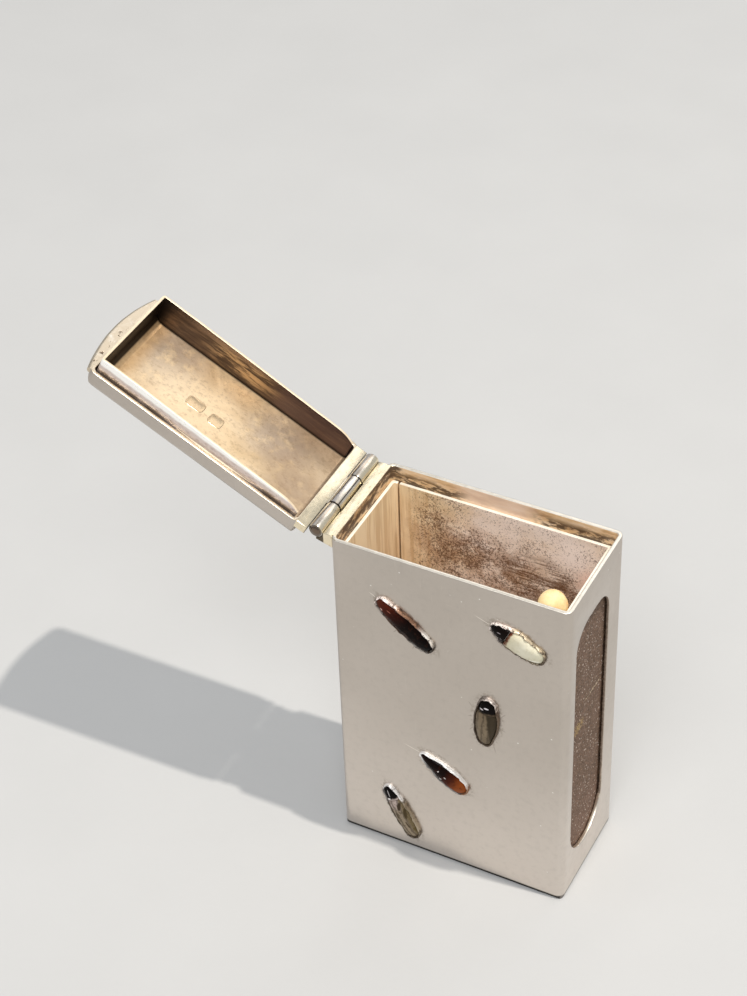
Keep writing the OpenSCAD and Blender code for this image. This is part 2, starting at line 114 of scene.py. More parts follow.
class Paint:
    """One procedural material. Its coordinates are millimetres of the case or of the closed lid."""

    def __init__(self, name, lid=False, metallic=1.0, **constants):
        self.mat = bpy.data.materials.new(name)
        self.mat.use_nodes = True
        self.tree = self.mat.node_tree
        self.bsdf = self.tree.nodes["Principled BSDF"]
        self.bsdf.inputs["Metallic"].default_value = metallic
        for socket, value in constants.items():
            self.bsdf.inputs[socket.replace("_", " ")].default_value = value
        at = self.add("ShaderNodeMapping")
        at.inputs["Scale"].default_value = (1 / MM,) * 3
        self.put(at.inputs["Vector"], self.add("ShaderNodeTexCoord").outputs["Object"])
        self.at = at.outputs[0]
        if lid:
            turn = self.add("ShaderNodeVectorRotate", rotation_type="Y_AXIS")
            turn.inputs["Center"].default_value = HINGE
            turn.inputs["Angle"].default_value = LID_OPEN
            self.put(turn.inputs["Vector"], self.at)
            self.at = turn.outputs[0]
        split = self.add("ShaderNodeSeparateXYZ")
        self.put(split.inputs[0], self.at)
        self.x, self.y, self.z = split.outputs

    def add(self, kind, **settings):
        node = self.tree.nodes.new(kind)
        for key, value in settings.items():
            setattr(node, key, value)
        return node

    def put(self, socket, value):
        if isinstance(value, bpy.types.NodeSocket):
            self.tree.links.new(value, socket)
        else:
            socket.default_value = value

    def moved(self, stretch, seed):
        """Coordinates stretched by a vector and moved aside by a seed."""
        at = self.add("ShaderNodeMapping")
        at.inputs["Scale"].default_value = stretch
        at.inputs["Location"].default_value = (seed * 7.3, seed * 3.1, seed * 5.7)
        self.put(at.inputs["Vector"], self.at)
        return at.outputs[0]

    def noise(self, scale, detail=3.0, rough=0.55, stretch=(1, 1, 1), seed=0, warp=0.0):
        node = self.add("ShaderNodeTexNoise")
        self.put(node.inputs["Vector"], self.moved(stretch, seed))
        node.inputs["Scale"].default_value = scale
        node.inputs["Detail"].default_value = detail
        node.inputs["Roughness"].default_value = rough
        node.inputs["Distortion"].default_value = warp
        return node.outputs["Fac"]

    def cells(self, scale, seed):
        node = self.add("ShaderNodeTexVoronoi", feature="F1")
        self.put(node.inputs["Vector"], self.moved((1, 1, 1), seed))
        node.inputs["Scale"].default_value = scale
        return node.outputs["Distance"]

    def math(self, op, a, b=0.0):
        node = self.add("ShaderNodeMath", operation=op)
        self.put(node.inputs[0], a)
        self.put(node.inputs[1], b)
        return node.outputs[0]

    def smooth(self, value, low, high):
        """0 below low and 1 above high, or the other way round where low is the larger."""
        node = self.add("ShaderNodeMapRange", interpolation_type="SMOOTHSTEP")
        self.put(node.inputs["Value"], value)
        node.inputs["From Min"].default_value = min(low, high)
        node.inputs["From Max"].default_value = max(low, high)
        node.inputs["To Min"].default_value = 0.0 if low < high else 1.0
        node.inputs["To Max"].default_value = 1.0 if low < high else 0.0
        return node.outputs["Result"]

    def near(self, point, radius, soft, scale=(1, 1, 1)):
        """1 within radius of a point, 0 past radius and soft, in stretched millimetres."""
        gap = self.add("ShaderNodeVectorMath", operation="SUBTRACT")
        self.put(gap.inputs[0], self.at)
        gap.inputs[1].default_value = point
        size = self.add("ShaderNodeVectorMath", operation="MULTIPLY")
        self.put(size.inputs[0], gap.outputs[0])
        size.inputs[1].default_value = scale
        length = self.add("ShaderNodeVectorMath", operation="LENGTH")
        self.put(length.inputs[0], size.outputs[0])
        return self.smooth(length.outputs["Value"], radius + soft, radius)

    def along(self, direction, origin):
        """Distance along a direction from a point."""
        dot = self.add("ShaderNodeVectorMath", operation="DOT_PRODUCT")
        self.put(dot.inputs[0], self.at)
        dot.inputs[1].default_value = direction
        return self.math("SUBTRACT", dot.outputs["Value"], Vector(direction).dot(Vector(origin)))

    def all_of(self, *masks):
        out = masks[0]
        for mask in masks[1:]:
            out = self.math("MULTIPLY", out, mask)
        return out

    def any_of(self, *masks):
        out = masks[0]
        for mask in masks[1:]:
            out = self.math("MAXIMUM", out, mask)
        return out

    def mix(self, factor, a, b):
        node = self.add("ShaderNodeMix", data_type="RGBA")
        self.put(node.inputs[0], factor)
        self.put(node.inputs[6], a)
        self.put(node.inputs[7], b)
        return node.outputs[2]

    def ramp(self, value, *stops):
        node = self.add("ShaderNodeValToRGB")
        elements = node.color_ramp.elements
        while len(elements) < len(stops):
            elements.new(0.5)
        for element, (place, colour) in zip(elements, stops):
            element.position = place
            element.color = colour
        self.put(node.inputs[0], value)
        return node.outputs[0]

    def bump(self, height, depth):
        """Adds relief of a depth in millimetres over what is there."""
        node = self.add("ShaderNodeBump")
        node.inputs["Strength"].default_value = 1.0
        node.inputs["Distance"].default_value = depth * MM
        self.put(node.inputs["Height"], height)
        if self.bsdf.inputs["Normal"].is_linked:
            self.put(node.inputs["Normal"], self.bsdf.inputs["Normal"].links[0].from_socket)
        self.put(self.bsdf.inputs["Normal"], node.outputs[0])

    def part(self, mask, share):
        return self.math("MULTIPLY", mask, share)

    def over(self, colour, *layers):
        """Lays colours over each other, each with its mask and its share."""
        for mask, share, top in layers:
            colour = self.mix(mask if share == 1 else self.part(mask, share), colour, rgb(*top))
        return colour

    def finish(self, colour, value, low, high):
        """Sets the colour, and a roughness that runs from low to high with a value."""
        self.put(self.bsdf.inputs["Base Color"], colour)
        self.put(self.bsdf.inputs["Roughness"], self.math("ADD", self.part(value, high - low), low))
        return self.mat


def stone_axes(which):
    """Directions along and across a stone on the front, and its centre."""
    x, z, turn = STONES[which][5:]
    turn = math.radians(turn)
    return (Vector((math.cos(turn), 0, math.sin(turn))), Vector((-math.sin(turn), 0, math.cos(turn))),
            Vector((x, FRONT, z)))


def segment(p, start, end, width):
    """Hairline between two points of the front, which fades toward its end."""
    run = (end - start).normalized()
    length = (end - start).length
    t = p.along(run, start)
    off = p.math("ABSOLUTE", p.along(Vector((-run.z, 0, run.x)), start))
    return p.all_of(p.smooth(off, width, width * 0.4), p.smooth(t, 0, 0.15),
                    p.smooth(t, length, length * 0.6))


def silver_outside():
    """Worn silver of the outside, warm grey and lighter toward the bottom as a painted reflection of the
    floor, with hairlines, nicks and tool marks at the stones, and a painted contact shadow along the foot.
    """
    p = Paint("case_silver")
    cloud = p.noise(0.06, 3, 0.5)
    grain = p.noise(1.1, 4, 0.6, seed=2)
    # Painted reflection: the silver turns lighter toward the bottom, over its cloudy tone.
    shade = p.math("ADD", p.part(p.smooth(p.z, 36, 1), 0.6), p.part(cloud, 0.5))
    colour = p.ramp(shade, (0.15, rgb(194, 185, 175)), (0.85, rgb(221, 212, 203)))
    fine = p.smooth(p.noise(0.9, 2, 0.5, (11, 11, 0.5), 1), 0.68, 0.74)
    slant = p.smooth(p.noise(0.8, 2, 0.5, (0.7, 5, 9), 4), 0.7, 0.76)
    nicks = p.all_of(p.smooth(p.cells(0.6, 1), 0.085, 0.03), p.smooth(p.noise(0.25, 1, seed=6), 0.48, 0.56))
    colour = p.over(
        colour, (p.smooth(grain, 0.45, 0.75), 0.16, (176, 168, 160)), (fine, 0.2, (226, 218, 208)),
        (slant, 0.16, (228, 220, 210)), (nicks, 0.85, (250, 248, 244)))
    pale, dark = ([segment(p, Vector((x0, FRONT, z0)), Vector((x1, FRONT, z1)), 0.08)
                   for x0, z0, x1, z1 in lines] for lines in (FEELERS, LEGS))
    rings = []
    for which in STONES:
        axis, side, centre = stone_axes(which)
        head, tail, across = STONES[which][:3]
        middle = centre + axis * (tail - head) / 2
        u = p.math("DIVIDE", p.along(axis, middle), (head + tail) / 2 + 0.3)
        v = p.math("DIVIDE", p.along(side, middle), across / 2 + 0.3)
        r = p.math("SQRT", p.math("ADD", p.math("MULTIPLY", u, u), p.math("MULTIPLY", v, v)))
        rings.append(p.smooth(r, 1.22, 0.98))
    tool = p.smooth(p.noise(2.4, 3, 0.6, seed=9), 0.44, 0.62)
    face = p.smooth(p.y, FRONT + 0.4, FRONT + 0.1)
    # Painted contact shadow: a dark line along the foot, near black on the front.
    foot = p.smooth(p.z, 0.7, 0.45)
    colour = p.over(colour, (p.all_of(p.any_of(*rings), tool, face), 0.5, (150, 138, 124)),
                    (p.all_of(p.any_of(*dark), face), 0.4, (126, 112, 98)),
                    (p.all_of(p.any_of(*pale), face), 0.7, (246, 238, 228)),
                    (foot, 0.6, (70, 62, 55)), (p.all_of(foot, face), 0.97, (18, 15, 13)))
    p.bump(cloud, 0.1)
    p.bump(p.noise(5, 2, 0.5, (1, 1, 0.4), 4), 0.0012)
    p.bump(p.any_of(fine, nicks), 0.002)
    return p.finish(colour, grain, 0.26, 0.4)


def silver_bright(name, lid=False, nicks=False, metallic=1.0, tint=(252, 244, 230)):
    """Polished edges, where use keeps the silver bright, or the lip with the nicks along its root."""
    p = Paint(name, lid, metallic)
    cloud = p.noise(0.7, 4, 0.6)
    grain = p.noise(4, 4, 0.65, seed=3)
    colour = p.ramp(cloud, (0.3, rgb(*(c - 16 for c in tint))), (0.6, rgb(*tint)))
    colour = p.over(colour, (p.smooth(grain, 0.66, 0.74), 0.6, (176, 156, 130)))
    if nicks:
        cut = p.all_of(p.smooth(p.x, 16.35, 15.95), p.smooth(p.y, 3.5, -1.0),
                       p.smooth(p.noise(1.3, 3, 0.6, (1, 0.8, 1), 5), 0.55, 0.62))
        colour = p.over(colour, (p.smooth(cloud, 0.2, 0.5), 0.85, (206, 190, 166)),
                        (cut, 0.85, (92, 70, 52)))
        p.bump(cut, -0.04)
    p.bump(grain, 0.006)
    return p.finish(colour, grain, 0.24, 0.46)


def band_stain():
    """Inside of the wall above the sleeve: gilding, with smears of match smoke."""
    p = Paint("mouth_stain", metallic=0.3)
    streak = p.noise(0.9, 4, 0.6, (0.3, 0.3, 1.2))
    smear = p.noise(1.2, 6, 0.72, (0.28, 0.28, 0.9), 3)
    colour = p.ramp(streak, (0.3, rgb(190, 146, 98)), (0.5, rgb(232, 200, 156)), (0.7, rgb(250, 228, 200)))
    low = p.smooth(p.z, 49.7, 48.5)
    sides = p.any_of(p.smooth(p.x, -4.0, -7.0), p.smooth(p.x, 3.0, 6.0))
    smoke = p.any_of(p.all_of(sides, low, p.smooth(smear, 0.43, 0.53)),
                     p.all_of(p.smooth(p.x, -13.2, -14.4), p.smooth(smear, 0.42, 0.54)))
    colour = p.over(colour, (p.near((-1.0, 7.5, 49), 3.0, 4.0, (1, 0.2, 1)), 0.6, (250, 228, 212)),
                    (smoke, 0.88, (62, 41, 26)))
    p.bump(streak, 0.015)
    return p.finish(colour, streak, 0.28, 0.5)


def liner_inside():
    """Gilt sleeve, pinkish tan, browner toward the bottom, with brown foxing that thickens toward the
    middle, and the match head's light as a painted pink glow on the wall beside it.
    """
    p = Paint("sleeve_gilt", metallic=0.1, Specular_IOR_Level=0.4)
    cloud = p.noise(0.16, 4, 0.6)
    colour = p.ramp(cloud, (0.3, rgb(232, 210, 186)), (0.5, rgb(246, 230, 216)), (0.7, rgb(252, 238, 228)))
    gold = p.smooth(p.math("ADD", p.x, p.part(cloud, 8.0)), 1.0, -8.0)
    upright = p.noise(0.8, 3, 0.6, (1.6, 1.6, 0.1), 4)
    upright = p.all_of(p.smooth(upright, 0.46, 0.62), p.smooth(p.x, -7.0, -10.5))
    colour = p.over(colour, (gold, 0.8, (240, 216, 172)), (upright, 0.5, (196, 160, 112)))
    low = p.smooth(p.z, 46, 36)
    patch = p.any_of(
        p.near((-5.5, 7, 39.5), 1.5, 6.0, (0.7, 0.2, 1)), p.near((1.0, 7, 38), 1, 7, (0.8, 0.2, 1)),
        p.near((9.2, 7, 37.5), 0.5, 4.5, (1.3, 0.2, 0.8)),
        p.part(p.near((-9.5, 7, 42.5), 1.0, 4.5, (0.9, 0.2, 0.8)), 0.7))
    speck = p.noise(4.5, 6, 0.8, seed=7)
    dense = p.math("ADD", p.part(patch, 0.08), p.part(p.noise(0.35, 3, 0.6, seed=8), 0.26))
    spots = p.all_of(p.smooth(p.math("ADD", speck, dense), 0.66, 0.76), p.smooth(p.x, -13.5, -11.0))
    level = p.all_of(p.smooth(p.noise(1.0, 4, 0.65, (0.16, 0.16, 1.8), 5), 0.42, 0.54),
                     p.near((5.0, 7, 38.8), 2.2, 2.6, (0.8, 0.2, 1)))
    brown = p.all_of(patch, p.smooth(p.noise(0.5, 4, 0.65, seed=2), 0.34, 0.6))
    # Painted glow: the match head's pink light on the sleeve's back wall.
    glow = p.near((12.6, 7, 41.0), 0.6, 2.6, (1, 0.2, 1))
    colour = p.over(
        colour, (brown, 0.65, (158, 114, 76)), (low, 0.15, (206, 166, 130)), (spots, 0.85, (92, 62, 42)),
        (level, 0.85, (106, 72, 46)), (glow, 0.5, (255, 206, 186)))
    p.bump(speck, 0.02)
    return p.finish(colour, speck, 0.34, 0.6)


def lid_inside():
    """Floor of the lid: worn gilding with grey clouds and rubbing along its length, a painted highlight near
    its middle, and painted shade where it meets the walls.
    """
    p = Paint("lid_gilt", lid=True, metallic=0.9)
    cloud = p.noise(0.13, 4, 0.6, warp=0.5)
    rub = p.noise(1.2, 4, 0.6, (0.22, 1.8, 1), 3)
    fleck = p.noise(2.6, 5, 0.75, seed=6)
    colour = p.ramp(cloud, (0.3, rgb(206, 178, 138)), (0.5, rgb(226, 200, 162)), (0.7, rgb(240, 218, 184)))
    grey = p.any_of(
        p.near((9.5, 3.2, 52), 1.5, 5.0, (1, 0.8, 1)), p.near((-7.5, 2.5, 52), 1, 5.5, (0.8, 1, 1)),
        p.part(p.near((-12.5, -2.0, 52), 1, 4.5), 0.7))
    grey = p.all_of(grey, p.smooth(p.noise(0.6, 5, 0.65, seed=9), 0.3, 0.55))
    colour = p.over(
        colour, (grey, 0.7, (168, 152, 140)), (p.smooth(rub, 0.55, 0.75), 0.2, (178, 150, 120)),
        (p.smooth(fleck, 0.62, 0.74), 0.6, (120, 92, 66)))
    # Painted shade: a dark line in the corners where the floor meets the walls.
    edge = p.any_of(p.smooth(p.y, 6.7, 7.0), p.smooth(p.x, 14.0, 14.25))
    # Painted highlight near the middle of the floor first; the last layer is the painted corner shade.
    colour = p.over(colour, (p.near((5.0, -0.5, 52), 1.5, 6.0, (0.8, 1, 1)), 0.6, (252, 230, 196)),
                    (p.smooth(p.x, -5.5, -10.5), 0.45, (158, 132, 108)),
                    (p.smooth(p.noise(1.9, 5, 0.75, (0.8, 1, 1), 5), 0.48, 0.66), 0.35, (150, 124, 98)),
                    (p.smooth(p.x, 11.0, 13.3), 0.5, (196, 150, 92)), (edge, 0.9, (38, 28, 19)))
    p.bump(cloud, 0.12)
    p.bump(fleck, 0.006)
    return p.finish(colour, fleck, 0.32, 0.55)


def lid_walls():
    """Inner sides of the lid and its band: dark brown, their tone deepened by painted shade, near black as
    painted shade toward the free end and where they meet the floor, with one rubbed amber patch.
    """
    p = Paint("lid_shaded_walls", lid=True, metallic=0.7)
    streak = p.noise(1.0, 5, 0.7, (0.3, 0.5, 2.5), warp=0.5)
    # Dark brown ground: the walls' tone deepened by painted shade.
    colour = p.ramp(streak, (0.3, rgb(56, 42, 32)), (0.5, rgb(84, 66, 52)), (0.68, rgb(118, 94, 74)))
    amber = p.all_of(p.near((2.0, 7.0, 49.9), 1.0, 2.4, (0.5, 0.3, 1.2)), p.smooth(streak, 0.42, 0.6))
    tan = p.all_of(p.smooth(p.z, 49.2, 48.6), p.smooth(p.x, 12.0, 8.0), p.smooth(p.x, -4.0, 0.0))
    colour = p.over(
        colour, (p.smooth(p.x, -2, -5), 0.6, (86, 66, 64)), (amber, 0.85, (190, 160, 122)),
        # Painted shade: near black toward the free end, and darker where the walls meet the floor.
        (tan, 0.6, (150, 124, 102)), (p.smooth(p.x, 12.0, 14.4), 0.9, (34, 26, 20)),
        (p.smooth(p.z, 51.7, 52.1), 0.7, (40, 29, 20)))
    p.bump(streak, 0.02)
    return p.finish(colour, streak, 0.3, 0.55)


def band_outside():
    """Outside of the lid's band: a painted highlight toward its free edge, with dirt in the groove at its
    root.
    """
    p = Paint("band_silver", lid=True, metallic=0.3)
    grain = p.noise(2.4, 4, 0.65, (0.5, 1, 1))
    cloud = p.noise(0.5, 4, 0.6, seed=3)
    # Painted highlight: the band turns near white toward its free edge.
    lit = p.smooth(p.math("ADD", p.z, p.part(cloud, 0.5)), 49.35, 48.95)
    colour = p.mix(lit, rgb(214, 198, 188), rgb(255, 252, 246))
    ends = p.any_of(p.smooth(p.x, 3.0, 6.5), p.smooth(p.x, -8.5, -10.5))
    root = p.smooth(p.math("ADD", p.z, p.part(grain, 0.9)), 49.9, 50.25)
    dull = p.all_of(p.smooth(grain, 0.5, 0.66), p.smooth(p.z, 48.7, 49.2))
    dirt = p.all_of(root, ends, p.smooth(cloud, 0.3, 0.5))
    colour = p.over(
        colour, (dull, 0.5, (164, 140, 130)), (dirt, 0.8, (84, 64, 46)), (root, 0.4, (150, 128, 108)))
    p.bump(grain, 0.012)
    return p.finish(colour, grain, 0.2, 0.4)


def hinge_silver(name, lid=False, tint=(252, 238, 208), dull=(186, 158, 112), edge=-99.0):
    """Silver of the hinge, washed with gilding, dull in hollows, with painted shade past an edge at the
    knuckles.
    """
    p = Paint(name, lid)
    cloud = p.noise(0.5, 4, 0.6)
    grain = p.noise(2.6, 4, 0.65, (1, 0.5, 1), 2)
    colour = p.ramp(cloud, (0.3, rgb(*(c - 14 for c in tint))), (0.6, rgb(*tint)))
    # The last layer is painted shade on the leaf past the edge, beside and under the knuckles.
    colour = p.over(colour, (p.smooth(grain, 0.56, 0.72), 0.5, dull),
                    (p.smooth(p.x, edge + 0.1, edge), 0.9, (58, 46, 34)))
    p.bump(grain, 0.01)
    return p.finish(colour, grain, 0.12, 0.36)


def knuckle_silver(name, lid, painted_bands):
    """Silver of a hinge tube: painted highlight and reflection bands round it, dark joints, and dark end
    faces as painted shade.
    """
    p = Paint(name, lid)
    grain = p.noise(2.6, 4, 0.65, (1, 0.5, 1), 2)
    colour = p.ramp(p.noise(0.5, 4, 0.6), (0.3, rgb(238, 226, 210)), (0.6, rgb(252, 244, 230)))
    across, up = p.math("SUBTRACT", p.x, HINGE.x), p.math("SUBTRACT", p.z, HINGE.z)
    turn = p.math("DEGREES", p.math("ARCTAN2", up, across))
    # Bands by angle round the tube: a painted highlight crest, painted reflections and dark painted
    # reflection lines.
    for at, half, share, tone in painted_bands:
        off = p.math("ABSOLUTE", p.math("SUBTRACT", turn, at))
        colour = p.over(colour, (p.smooth(off, half, half * 0.4), share, tone))
    y = p.math("ABSOLUTE", p.y)
    gap = p.math("ABSOLUTE", p.math("SUBTRACT", y, KNUCKLE_JOINT))
    colour = p.over(
        colour, (p.smooth(grain, 0.56, 0.7), 0.5, (120, 102, 80)),
        (p.smooth(gap, 0.2, 0.06), 0.9, (56, 44, 34)),
        # Painted shade on the end faces.
        (p.smooth(y, ROW - 0.05, ROW - 0.01), 0.85, (84, 72, 60)))
    p.bump(grain, 0.012)
    return p.finish(colour, grain, 0.14, 0.36)


def window_edge():
    """Cut edge of the window: bright at the outside, near black behind as painted shade."""
    p = Paint("window_edge_silver")
    grain = p.noise(2.6, 4, 0.65)
    colour = p.ramp(grain, (0.35, rgb(176, 164, 150)), (0.65, rgb(212, 202, 190)))
    # Painted shade: near black on the cut edge behind its outer rim.
    behind = p.smooth(p.math("ADD", p.x, p.part(grain, 0.1)), 15.47, 15.39)
    colour = p.over(colour, (behind, 0.96, (26, 19, 14)))
    p.bump(grain, 0.01)
    return p.finish(colour, grain, 0.3, 0.5)


def striker():
    """Glued grit: brown grains, a few pale ones, and rubbed lines from use."""
    p = Paint("striker_grit", metallic=0.0, Specular_IOR_Level=0.35)
    grit = p.noise(4.2, 4, 0.7)
    colour = p.ramp(grit, (0.3, rgb(70, 52, 40)), (0.5, rgb(110, 87, 70)), (0.68, rgb(146, 119, 98)))
    wear = p.noise(0.3, 3, 0.6, seed=4)
    grains = p.all_of(p.smooth(p.cells(2.2, 2), 0.3, 0.14), p.smooth(p.noise(1.1, 2, seed=8), 0.38, 0.5))
    smear = p.all_of(p.near((15.1, -2.9, 26.6), 0.3, 1.4, (1, 0.8, 1.3)), p.smooth(grit, 0.42, 0.6))
    rub = p.all_of(p.smooth(p.math("ABSOLUTE", p.along(Vector((0, 0.06, 1)), (15.1, 0, 29.55))), 0.2, 0.06),
                   p.smooth(p.y, -1.2, -0.4), p.smooth(p.y, 4.1, 3.0), p.smooth(grit, 0.4, 0.55))
    colour = p.over(
        colour, (p.smooth(wear, 0.45, 0.7), 0.35, (134, 106, 90)),
        (p.smooth(p.z, 18, 6), 0.3, (140, 108, 92)), (grains, 0.9, (206, 190, 176)),
        (smear, 0.85, (200, 170, 110)), (rub, 0.85, (206, 186, 158)))
    p.bump(grit, 0.05)
    return p.finish(colour, grit, 0.6, 0.8)


def stone_place(p, which):
    """Distances along and across a stone, and the share of its length from head to tail."""
    head, tail = STONES[which][:2]
    axis, side, centre = stone_axes(which)
    u, v = p.along(axis, centre), p.along(side, centre)
    return u, v, p.math("DIVIDE", p.math("ADD", u, head), head + tail)


def stone_paint(name, which, stops, stripe=0.0, dark_side=None, marks=(), rough=0.06,
                crumbs=(0.0, (0, 0, 0))):
    """Polished stone coloured along its length from head to tail, with fine veins, crumbs and marks; pale
    marks are painted glints and highlights, dark ones spots in the stone.
    """
    p = Paint(name, metallic=0.0, Specular_IOR_Level=0.05)
    u, v, place = stone_place(p, which)
    vein = p.noise(1.1, 4, 0.65, seed=len(which))
    colour = p.ramp(p.math("ADD", place, p.part(p.math("SUBTRACT", vein, 0.5), 0.14)),
                    *((at, rgb(*tone)) for at, tone in stops))
    if stripe:
        line = p.math("SINE", p.math("ADD", p.part(v, 8.0), p.part(vein, 7.0)))
        colour = p.over(colour, (p.smooth(line, 0.0, 0.9), stripe, (50, 42, 34)))
    if dark_side:
        at, slope, tone = dark_side
        past = p.math("SUBTRACT", p.math("ADD", v, p.part(vein, 0.5)), p.part(u, slope))
        colour = p.over(colour, (p.smooth(past, at, at + 0.35), 0.9, tone))
    colour = p.over(colour, (p.smooth(p.noise(1.8, 4, 0.7, seed=9), 0.52, 0.62), *crumbs))
    # Pale marks are painted glints and highlights; dark ones are spots in the stone.
    for u0, v0, along, across, slope, tone in marks:
        du = p.math("SUBTRACT", u, u0)
        dv = p.math("DIVIDE", p.math("SUBTRACT", p.math("SUBTRACT", v, v0), p.part(du, slope)), across)
        du = p.math("DIVIDE", du, along)
        r = p.math("ADD", p.math("MULTIPLY", du, du), p.math("MULTIPLY", dv, dv))
        colour = p.over(colour, (p.smooth(p.math("ADD", r, p.part(vein, 0.8)), 1.5, 0.8), 1, tone))
    p.bump(vein, 0.05)
    p.bump(p.noise(3.0, 3, 0.6, seed=4), 0.012)
    return p.finish(colour, vein, rough, rough + 0.08)


def collet_paint(which, dirt, *stops):
    """Silver of a stone's band, toned from head to tail, its near-white tones painted highlights, with dirt
    in its dents and painted shade on its under side.
    """
    p = Paint("collet_silver_" + which, metallic=0.35)
    _, v, place = stone_place(p, which)
    dents = p.noise(1.9, 4, 0.7, seed=len(which))
    colour = p.ramp(p.math("ADD", place, p.part(p.math("SUBTRACT", dents, 0.5), 0.2)),
                    *((at, rgb(*tone)) for at, tone in stops))
    # Dirt in the dents, then painted shade along the under side.
    colour = p.over(colour, (p.smooth(dents, 0.5, 0.6), dirt, (64, 48, 36)),
                    (p.smooth(v, -0.3, -0.9), 0.75, (58, 46, 37)))
    p.bump(dents, 0.03)
    return p.finish(colour, dents, 0.2, 0.45)


def match_paint(name, pale, deep):
    """Waxed stem or dipped head, a little translucent."""
    p = Paint(name, metallic=0.0, Subsurface_Weight=0.25, Subsurface_Radius=(0.001, 0.0006, 0.0003))
    cloud = p.noise(0.9, 4, 0.6)
    grain = p.noise(4, 4, 0.65, seed=3)
    colour = p.ramp(cloud, (0.35, rgb(*deep)), (0.65, rgb(*pale)))
    colour = p.over(colour, (p.smooth(grain, 0.62, 0.76), 0.5, tuple(c * 0.85 for c in deep)))
    p.bump(grain, 0.02)
    return p.finish(colour, grain, 0.4, 0.65)


